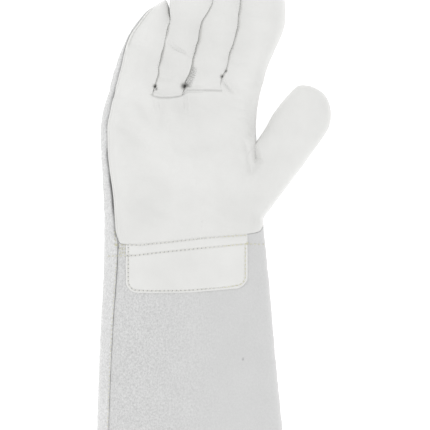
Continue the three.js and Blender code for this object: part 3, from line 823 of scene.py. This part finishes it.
def hand_rows(across, rows, left, right, low, high):
    """Plan grid between a left and a right line, whose first and last rows follow the lines low(x) and
    high(x)."""
    share = np.linspace(0, 1, rows)[:, None]
    across = across[None, :]
    start, end = low(0.0), high(0.0)
    y = start + (end - start) * share + 0 * across
    for _ in range(12):
        x = left(y) + (right(y) - left(y)) * across
        y = low(x) + (high(x) - low(x)) * share
    return left(y) + (right(y) - left(y)) * across, y


SEAM_GAP = 0.12                # each leather stops this far from the line of the side seam
TUCK = 3.0                     # how far the cuff and the thumb's front run on under the palm


def make_palm():
    """Palm: from the wrist edge to the fingers' edge, between the side seam and the right outline."""
    x, y = hand_rows(ease_right(190), 190, lambda y: SEAM(y) + SEAM_GAP, palm_right, WRIST_EDGE, FINGER_EDGE)
    obj = plan_panel("palm_leather", x, y, top, 1, GRAIN_SIDES)
    tie(obj, "hand", ["palm_panel"], WRIST_BEND)


def wrapped_panel(name, y, materials, palm_side, right, finger=None, strip=16, bottom=90):
    """Back leather: from the seam on the palm side over the left edge and along the underside to the right
    edge."""
    def over(x, y):
        return top(x, y, finger)

    def below(x, y):
        return under(x, y, finger)

    left_edge = LEFT if finger is None else (lambda y: finger_outline(finger, y)[0])
    y = y[:, None]
    down = ease_right(strip)[None, :]
    along = ease_both(bottom)[None, 1:]
    x_top = palm_side(y) + (left_edge(y) - palm_side(y)) * down
    x_low = left_edge(y) + (right(y) - left_edge(y)) * along
    y_top, y_low = y + 0 * x_top, y + 0 * x_low
    outer = np.concatenate([np.stack([x_top, y_top, over(x_top, y_top)], -1),
                            np.stack([x_low, y_low, below(x_low, y_low)], -1)], 1)
    normal = np.concatenate([normals(over, x_top, y_top, 1), normals(below, x_low, y_low, -1)], 1)
    # painted shade of the side seam on the palm side, none on the underside
    shade_and_marks = np.concatenate([painted_shade(x_top, y_top), 0 * x_low], 1)
    return panel(name, outer, normal, materials, shade_and_marks)


def make_hand_back():
    """Back of the hand, wrapped round the little-finger edge to the palm's side seam."""
    y = np.linspace(3.0, 108.0, 130)
    obj = wrapped_panel("hand_back_leather", y, SPLIT_LIGHTENED_SIDES, lambda y: SEAM(y) - SEAM_GAP, hand_right)
    tie(obj, "hand", ["hand_back_panel"], WRIST_BEND)


# ---- fingers and thumb ---------------------------------------------------------------------------
def make_finger(name):
    """Front, back and gussets of one finger."""
    tip, _, gusset_left, gusset_right = FINGERS[name][2:]
    bend = FINGER_BENDS[name]
    wrapped = name == "little"

    def front_left(y):
        edge = finger_outline(name, y)[0]
        return np.maximum(SEAM(y) + SEAM_GAP, edge) if wrapped else edge

    def front_right(y):
        return finger_outline(name, y)[1]

    start = 112
    share = (1 - (1 - np.linspace(0, 1, 150)) ** 1.5)[:, None]
    across = (ease_right(60) if wrapped else ease_both(64))[None, :]
    flat = start + (tip - start) * share + 0 * across
    y = flat
    for _ in range(6):
        x = front_left(y) + (front_right(y) - front_left(y)) * across
        y = flat + (FINGER_EDGE(x) - start) * (1 - share) ** 3
    x = front_left(y) + (front_right(y) - front_left(y)) * across
    front = plan_panel(f"{name}_front_leather", x, y, lambda x, y: top(x, y, name), 1, GRAIN_SIDES)
    tie(front, name, [f"{name}_front"], bend)

    rows = 108 + (tip - 108) * (1 - (1 - np.linspace(0, 1, 120)) ** 1.5)
    if wrapped:
        back = wrapped_panel("little_back_leather", rows, SPLIT_LIGHTENED_SIDES, lambda y: front_left(y) - 2 * SEAM_GAP,
                             front_right, name, strip=12, bottom=60)
    else:
        across = ease_both(60)[None, :]
        yb = rows[:, None] + 0 * across
        xb = front_left(yb) + (front_right(yb) - front_left(yb)) * across
        back = plan_panel(f"{name}_back_leather", xb, yb, lambda x, y: under(x, y, name), -1, SPLIT_LIGHTENED_SIDES)
    tie(back, name, [f"{name}_back"], bend)

    for side, gusset in (("left", gusset_left), ("right", gusset_right)):
        if gusset:
            make_gusset(name, side, tip, bend)


def make_gusset(name, side, tip, bend):
    """Gusset: an upright strip between the front's and the back's edge, narrowing to nothing at the tip,
    swelling out half way up, where it all but touches its neighbour's: the swell is a parabola over the
    height."""
    facing = -1 if side == "left" else 1
    y = (113 + (tip - 116) * (1 - (1 - np.linspace(0, 1, 120)) ** 1.3))[:, None]
    up = np.linspace(1, 0, 12)[None, :]
    edge = finger_outline(name, y)[0 if side == "left" else 1]
    high, low = top(edge, y, name), under(edge, y, name)
    half = np.maximum((high - low) / 2 - 0.15, 0.05)
    high, low = (high + low) / 2 + half, (high + low) / 2 - half
    x = edge + facing * (4 * up * (1 - up) * 0.05 - 0.03)
    outer = np.stack([x, y + 0 * x, low + (high - low) * up], -1)
    across = np.gradient(outer, axis=1)
    along = np.gradient(outer, axis=0)
    normal = np.cross(across, along)
    normal /= np.maximum(np.linalg.norm(normal, axis=-1, keepdims=True), 1e-9)
    normal *= np.sign(normal[..., :1].mean() * facing)
    obj = panel(f"{name}_{side}_gusset_leather", outer, normal, GRAIN_SIDES, wall=0.8)
    tie(obj, name, [f"{name}_{side}_fourchette"], bend)


def thumb_top(x, y):
    """Height of the thumb's front, which dips a hair under the palm leather behind their common border."""
    t, s = thumb_frame(x, y)
    behind = smoothstep((THUMB_BORDER - s) / 0.8) + smoothstep((THUMB_LEFT(s) + 0.6 - t) / 0.6) * (y < 72)
    return top(x, y, "thumb") - 0.2 * np.minimum(behind, 1)


def make_thumb():
    """Front and back of the thumb, in the thumb's own frame, from its border with the palm to its tip."""
    start = THUMB_BORDER - TUCK
    along = start + (THUMB_TIP - start) * (1 - (1 - np.linspace(0, 1, 136)) ** 1.5)
    s = along[:, None]
    across = ease_both(96)[None, :]
    left, right, _ = thumb_sides(s)
    t = left + (right - left) * across
    x = THUMB_CENTRE[0] + t * THUMB_AXIS[0] + s * THUMB_AHEAD[0]
    y = THUMB_CENTRE[1] + t * THUMB_AXIS[1] + s * THUMB_AHEAD[1]
    front = plan_panel("thumb_front_leather", x, y, thumb_top, 1, GRAIN_SIDES)
    tie(front, "thumb", ["thumb_front"], THUMB_BEND)
    back = plan_panel("thumb_back_leather", x, y, lambda x, y: under(x, y, "thumb"), -1, SPLIT_LIGHTENED_SIDES)
    tie(back, "thumb", ["thumb_back"], THUMB_BEND)


# ---- cuff ----------------------------------------------------------------------------------------
def cuff_top(x, y):
    """Height of the cuff's front, which dips under the palm leather at the wrist."""
    return top(x, y) - (WALL + 0.25) * smoothstep((y - CUFF_EDGE(x) + 0.9) / 1.3)


def cuff_shade_and_knot(x, y):
    """The side seam's painted shade, and a tiny dark knot in the leather low on the right."""
    return np.clip(painted_shade(x, y) + 0.8 * np.exp(-((np.hypot(x - 44, y + 88) / 0.6) ** 2)), 0, 1)


def make_cuff():
    """Cuff front and back, from the mouth to the wrist."""
    x, y = hand_rows(ease_right(150), 210, lambda y: SEAM(y) + SEAM_GAP, RIGHT, lambda x: MOUTH + 0 * x,
                     lambda x: CUFF_EDGE(x) + TUCK)
    front = plan_panel("cuff_front_leather", x, y, cuff_top, 1, SPLIT_SIDES, shade_and_marks=cuff_shade_and_knot)
    tie(front, "cuff", ["cuff_front_panel"], WRIST_BEND)
    rows = np.linspace(MOUTH, 3.0, 180)
    back = wrapped_panel("cuff_back_leather", rows, SPLIT_LIGHTENED_SIDES, lambda y: SEAM(y) - SEAM_GAP, RIGHT)
    tie(back, "cuff", ["cuff_back_panel"], WRIST_BEND)


PATCH_LEFT, PATCH_RIGHT, PATCH_RADIUS = -43.0, 47.5, 8.6
PATCH_BASE = curve((-43, -38.9), (-20, -39.3), (0, -39), (24, -37.2), (47.5, -35.2))
PATCH_MIDDLE, PATCH_HALF = (PATCH_LEFT + PATCH_RIGHT) / 2, (PATCH_RIGHT - PATCH_LEFT) / 2
PATCH_LIFT = 1.35
ROW_UPPER = [(-50.7, -3.6), (-31.7, -3.6), (-10.2, -1.4), (15.6, 1.6), (47.2, 3.8)]
ROW_LOWER = [(-57.5, -12), (-48, -11.7), (-36, -11.3), (-17, -9), (7, -6.5), (47.2, -2.6)]


def patch_low(x):
    """Lower edge of the patch, with a quarter round at both corners."""
    into = np.clip(np.abs(x - PATCH_MIDDLE) - (PATCH_HALF - PATCH_RADIUS), 0, PATCH_RADIUS)
    return PATCH_BASE(x) + PATCH_RADIUS - np.sqrt(np.clip(PATCH_RADIUS**2 - into**2, 0, None))


def patch_edge_path(inset):
    """Line round the patch's left side, lower edge and right side, a constant distance inside its edge."""
    radius = PATCH_RADIUS - inset
    turn = np.radians(np.linspace(0, 90, 9))
    left, right = PATCH_LEFT + inset, PATCH_RIGHT - inset
    low_left, low_right = PATCH_BASE(left) + PATCH_RADIUS, PATCH_BASE(right) + PATCH_RADIUS
    points = [(left, -5.5)]
    points += [(left + radius - radius * np.cos(a), low_left - radius * np.sin(a)) for a in turn]
    points += [(x, PATCH_BASE(x) + inset) for x in np.linspace(left + radius, right - radius, 12)[1:-1]]
    points += [(right - radius + radius * np.sin(a), low_right - radius * np.cos(a)) for a in turn]
    return points + [(right, -1.5)]


PATCH_ROW = patch_edge_path(1.8)


def patch_top(x, y):
    """Height of the patch: it lies on the cuff, sinks along its stitching and rounds off at its edge."""
    rows = [distance(x, y, path)[0] for path in (ROW_UPPER, ROW_LOWER, PATCH_ROW)]
    sunk = sum(depth * np.exp(-((away / 0.9) ** 2)) for away, depth in zip(rows, (0.6, 0.55, 0.4)))
    edge = np.minimum(PATCH_HALF - np.abs(x - PATCH_MIDDLE), y - patch_low(x))
    round_off = 0.8 * np.exp(-((np.maximum(edge, 0) / 0.5) ** 2))
    puff = 0.35 * np.exp(-(((rows[0] + rows[1] - 7.4) / 2.0) ** 2)) * np.exp(-((rows[0] - 3.7) / 2.4) ** 2)
    seam = 0.35 * np.exp(-(((WRIST_EDGE(x) - y) / 0.45) ** 2))
    return top(x, y) + PATCH_LIFT * smoothstep((WRIST_EDGE(x) - y) / 2 + 0.4) - sunk - round_off + puff - seam


def needle_holes(x, y, path, pitch):
    """Painted shade of the needle holes between a row's stitches: a bell round each hole, fainter to the
    thumb side."""
    hole_x, hole_y = resample(path, pitch, 0.0)[:2]
    away = np.hypot(x[..., None] - hole_x, y[..., None] - hole_y).min(-1)
    return np.exp(-((away / 0.48) ** 2)) * (1 - 0.7 * smoothstep((x - 8) / 26))


def patch_hole_shade(x, y):
    """Painted shade in the needle holes of the three rows on the patch."""
    rows = [needle_holes(x, y, path, PITCH) for path in (ROW_UPPER, ROW_LOWER, PATCH_ROW)]
    return 0.97 * np.maximum(np.maximum(0.75 * rows[0], rows[1]), rows[2])


def make_patch():
    """Pulse patch over the wrist."""
    across = 0.4 * ease_both(260) + 0.6 * np.linspace(0, 1, 260)
    x = (PATCH_LEFT + (PATCH_RIGHT - PATCH_LEFT) * across)[None, :]
    share = (0.4 * ease_both(130) + 0.6 * np.linspace(0, 1, 130))[:, None]
    low, high = patch_low(x), WRIST_EDGE(x)
    y = low + (high - low) * share
    x = x + 0 * y
    obj = plan_panel("pulse_patch_leather", x, y, patch_top, 1, GRAIN_SIDES, shade_and_marks=patch_hole_shade)
    tie(obj, "cuff", ["pulse_patch"])


def make_binding():
    """Binding of the mouth: a strip folded over the edge, its U section carried round the opening."""
    turn = np.linspace(0, 2 * np.pi, 241)[:-1][None, :]
    profile = np.array([(11, 0.1), (11, 1.1), (10.4, 1.5), (0.5, 1.6), (-1.0, 1.1), (-1.6, 0.0), (-1.6, -1.8),
                        (-1.0, -2.8), (0.5, -3.1), (10.4, -2.9), (11, -2.6), (11, -1.6), (0.3, -1.6),
                        (0.2, 0.1)])
    y = (MOUTH + profile[:, 0])[:, None]
    lift = profile[:, 1][:, None]
    left, right = LEFT(y), RIGHT(y)
    middle, half = (left + right) / 2, (right - left) / 2
    c, s = np.cos(turn), np.sin(turn)
    rest = 1.75                    # how high the cuff's underside lies here, on the binding
    x0 = middle + half * np.sign(c) * np.abs(c) ** (2 / TOP_ROUND)
    upper = LEVEL(y) + CROWN(y) * np.maximum(s, 0) ** (2 / TOP_ROUND)
    lower = LEVEL(y) - (LEVEL(y) + FLATTENED) * np.maximum(-s, 0) ** (2 / UNDER_ROUND)
    z0 = np.where(s >= 0, upper, np.maximum(lower, rest))
    tx, tz = np.gradient(x0, axis=1), np.gradient(z0, axis=1)
    length = np.hypot(tx, tz)
    x = x0 + lift * tz / length
    z = z0 - lift * tx / length
    points = np.stack([x, y + 0 * x, np.maximum(z, 0.02)], -1)
    rows, cols = x.shape
    faces = grid_faces(rows + 1, cols, wrap=True) % (rows * cols)
    obj = build("mouth_binding_leather", points.reshape(-1, 3), faces, [SPLIT])
    fix_winding(obj)
    tie(obj, "cuff", ["cuff_mouth_binding"])


# ---- stitching -----------------------------------------------------------------------------------
PITCH = 3.1
STITCH = 2.45
YARN = 0.34                    # half the thread's thickness


def resample(path, step, first=0.5):
    """Points at equal steps along a bent line from the given share of a step, with the direction at each."""
    points = np.array(path, float)
    lengths = np.hypot(*np.diff(points, axis=0).T)
    total = np.concatenate([[0], np.cumsum(lengths)])
    count = max(int(round(total[-1] / step)), 1)
    place = (np.arange(count) + first) * total[-1] / count
    x, y = np.interp(place, total, points[:, 0]), np.interp(place, total, points[:, 1])
    ahead = np.interp(place + 0.3, total, points[:, 0]) - x, np.interp(place + 0.3, total, points[:, 1]) - y
    length = np.maximum(np.hypot(*ahead), 1e-6)
    return x, y, ahead[0] / length, ahead[1] / length


def stitches(name, rows, surface, lift=0.0, long=STITCH, thick=YARN):
    """Rows of stitches in one mesh. A stitch is a six-sided tube that bows up and dives into the leather at
    both ends: height = thickness times one minus twice the fourth power of the place along it."""
    rings, sides = 7, 6
    a = np.linspace(-1, 1, rings)
    girth = thick * np.sqrt(np.clip(1.05 - a**6, 0.05, None))
    turn = np.linspace(0, 2 * np.pi, sides, endpoint=False)
    along = np.repeat(a * long / 2, sides)
    side = np.outer(girth, np.cos(turn)).ravel()
    high = (np.outer(girth, np.sin(turn)) * 0.8 + (0.45 - 1.9 * a**4)[:, None] * thick).ravel()
    quads = grid_faces(rings, sides, wrap=True)
    last = (rings - 1) * sides
    caps = [list(range(sides))[::-1], list(range(last, last + sides))]
    points, faces = [], []
    size = rings * sides
    start = 0
    step = 0.25
    for path in rows:
        x, y, dx, dy = resample(path, PITCH)
        z = surface(x, y)
        rise_along = (surface(x + step * dx, y + step * dy) - z) / step
        rise_side = (surface(x - step * dy, y + step * dx) - z) / step
        ahead = np.stack([dx, dy, rise_along], -1)
        ahead /= np.linalg.norm(ahead, axis=-1, keepdims=True)
        beside = np.stack([-dy, dx, rise_side], -1)
        normal = np.cross(ahead, beside)
        normal /= np.linalg.norm(normal, axis=-1, keepdims=True)
        beside = np.cross(normal, ahead)
        centre = np.stack([x, y, z], -1) + lift * normal
        shape = centre[:, None] + along[None, :, None] * ahead[:, None]
        shape = shape + side[None, :, None] * beside[:, None] + high[None, :, None] * normal[:, None]
        points.append(shape.reshape(-1, 3))
        starts = start + size * np.arange(len(x))
        faces += (quads[None] + starts[:, None, None]).reshape(-1, 4).tolist()
        faces += [[k + s for k in cap] for s in starts for cap in caps]
        start += size * len(x)
    obj = build(name, np.concatenate(points), faces, [THREAD])
    layer = obj.data.uv_layers.new(name="stitch")
    vertex = np.zeros(len(obj.data.loops), np.int32)
    obj.data.loops.foreach_get("vertex_index", vertex)
    local = vertex % size
    pair = np.stack([(local // sides) / (rings - 1) * long, (local % sides) / sides * 2.0], -1)
    layer.data.foreach_set("uv", pair.astype(np.float32).ravel())
    fix_winding(obj)
    return obj


def fix_winding(obj):
    """Turn every closed loose part of a mesh so that its faces point outwards."""
    mesh = bmesh.new()
    mesh.from_mesh(obj.data)
    bmesh.ops.recalc_face_normals(mesh, faces=mesh.faces)
    mesh.to_mesh(obj.data)
    mesh.free()


def wrist_surface(x, y):
    """The leather that the wrist rows lie on: the patch, and the cuff beside it."""
    on = (x > PATCH_LEFT) & (x < PATCH_RIGHT)
    return np.where(on, patch_top(x, y), top(x, y))


def make_stitching():
    """All the rows of thread."""
    tack_left = [[(-51.4 + 0.6 * k, -1.4), (-51.0 + 0.6 * k, -5.6)] for k in range(3)]
    tack_left += [[(-51.6, 7.5), (-51.0, -1.5)]]
    tack_left += [[(-47.6 + 1.7 * k, -4.6), (-47.5 + 1.7 * k, -11)] for k in range(3)]
    run_out = [(48.5, -2.8), (55, -3.0), (61.0, -3.2)]
    tack_right = [[(47.0 + 0.5 * k, -0.2), (46.6 + 0.5 * k, -4.6)] for k in range(3)]
    upper = stitches("wrist_stitches_upper", [ROW_UPPER] + tack_left, wrist_surface, 0.05)
    tie(upper, "cuff", ["wrist_stitching_upper"])
    lower = stitches("wrist_stitches_lower", [ROW_LOWER, run_out] + tack_right, wrist_surface, 0.05)
    tie(lower, "cuff", ["wrist_stitching_lower"])
    edge = stitches("patch_stitches", [PATCH_ROW], patch_top, 0.05)
    tie(edge, "cuff", ["patch_stitching"])
    y = np.linspace(-16, MOUTH + 14, 40)
    fold = stitches("side_seam_stitches", [list(zip(SEAM(y) - 0.9, y))], top, 0.0, 1.6, 0.25)
    tie(fold, "cuff", ["side_seam_stitching"])
    y = np.linspace(146, 174, 12)
    welt = stitches("little_welt_stitches", [list(zip(SEAM(y) + 1.7, y))], lambda x, y: top(x, y, "little"),
                    -0.05, 1.9, 0.26)
    tie(welt, "little", [], FINGER_BENDS["little"])
    x = np.linspace(PATCH_LEFT - 2, PATCH_RIGHT, 30)
    mouth = [list(zip(x * 1.3, MOUTH + 8.5 + 0 * x))]
    bound = stitches("mouth_stitches", mouth, lambda x, y: top(x, y) + 1.5, 0.02)
    tie(bound, "cuff", [])


def make_welt(name, start, end, finger, body, nodes, bend):
    """Welt: a narrow folded strip sewn into the side seam, a round section carried along the seam between
    two y."""
    y = np.linspace(start, end, 150)
    x = SEAM(y) + 0.75
    z = top(x, y, finger) + 0.12
    ahead = np.stack([np.gradient(x), np.gradient(y), np.gradient(z)], -1)
    ahead /= np.linalg.norm(ahead, axis=-1, keepdims=True)
    side = np.cross(ahead, [0, 0, 1.0])
    side /= np.linalg.norm(side, axis=-1, keepdims=True)
    high = np.cross(side, ahead)
    turn = np.linspace(0, 2 * np.pi, 12, endpoint=False)
    taper = np.sqrt(np.clip(np.minimum(y - y[0], y[-1] - y) / 6, 0.02, 1))[:, None, None]
    wide, tall = 0.8 * np.cos(turn)[None, :, None], 0.65 * np.sin(turn)[None, :, None]
    ring = wide * side[:, None] + tall * high[:, None]
    points = np.stack([x, y, z], -1)[:, None] + taper * ring
    rows, cols = points.shape[:2]
    faces = grid_faces(rows, cols, wrap=True).tolist()
    faces += [list(range(cols)), list(range(rows * cols - 1, (rows - 1) * cols - 1, -1))]
    obj = build(name, points.reshape(-1, 3), faces, [GRAIN])
    fix_winding(obj)
    tie(obj, body, nodes, bend)


# ---- stage ---------------------------------------------------------------------------------------
def make_stage():
    """Pale floor, soft studio light and the camera straight above the palm."""
    mesh = bpy.data.meshes.new("floor")
    side = 3.0
    corners = [(-side, -side, 0), (side, -side, 0), (side, side, 0), (-side, side, 0)]
    mesh.from_pydata(corners, [], [(0, 1, 2, 3)])
    floor = bpy.data.objects.new("floor", mesh)
    bpy.context.scene.collection.objects.link(floor)
    material, tree, shader = new_material("pale_floor")
    fill(tree, shader, {"Base Color": (0.9, 0.9, 0.9, 1), "Roughness": 0.9, "Emission Color": (1, 1, 1, 1),
                        "Emission Strength": 0.55})
    mesh.materials.append(material)

    world = bpy.data.worlds.new("studio")
    world.use_nodes = True
    fill(world.node_tree, world.node_tree.nodes["Background"], {"Color": (1, 1, 1, 1), "Strength": 0.79})
    bpy.context.scene.world = world

    # each lamp's name, place, width and power; both look at the middle of the glove
    lamps = [("key", (-1.8, 0.7, 1.6), 1.0, 10.5), ("fill", (0.85, -0.65, 1.3), 1.2, 5.2)]
    for name, place, size, power in lamps:
        light = bpy.data.lights.new(name, "AREA")
        light.shape = "DISK"
        light.size = size
        light.energy = power
        lamp = bpy.data.objects.new(name, light)
        lamp.location = place
        lamp.rotation_euler = (-Vector(place)).to_track_quat("-Z", "Y").to_euler()
        bpy.context.scene.collection.objects.link(lamp)

    camera = bpy.data.cameras.new("camera")
    distance_up = 1.6
    view_width = 0.3225            # at the height of the palm
    palm_height = 0.02
    camera.sensor_width = 36.0
    camera.lens = camera.sensor_width * (distance_up - palm_height) / view_width
    camera.dof.use_dof = False
    eye = bpy.data.objects.new("camera", camera)
    eye.location = (0.02325, 0.01875, distance_up)
    bpy.context.scene.collection.objects.link(eye)
    bpy.context.scene.camera = eye
    bpy.context.scene.view_settings.view_transform = "Standard"


make_stage()
make_palm()
make_hand_back()
for finger_name in FINGERS:
    make_finger(finger_name)
make_thumb()
make_cuff()
make_patch()
make_binding()
make_welt("palm_seam_welt_leather", WRIST_EDGE(-49.0) + 1, 110, None, "hand", ["palm_seam_welt"], WRIST_BEND)
make_welt("little_seam_welt_leather", 108, 143, "little", "little", [], FINGER_BENDS["little"])
make_stitching()

bpy.context.view_layer.update()
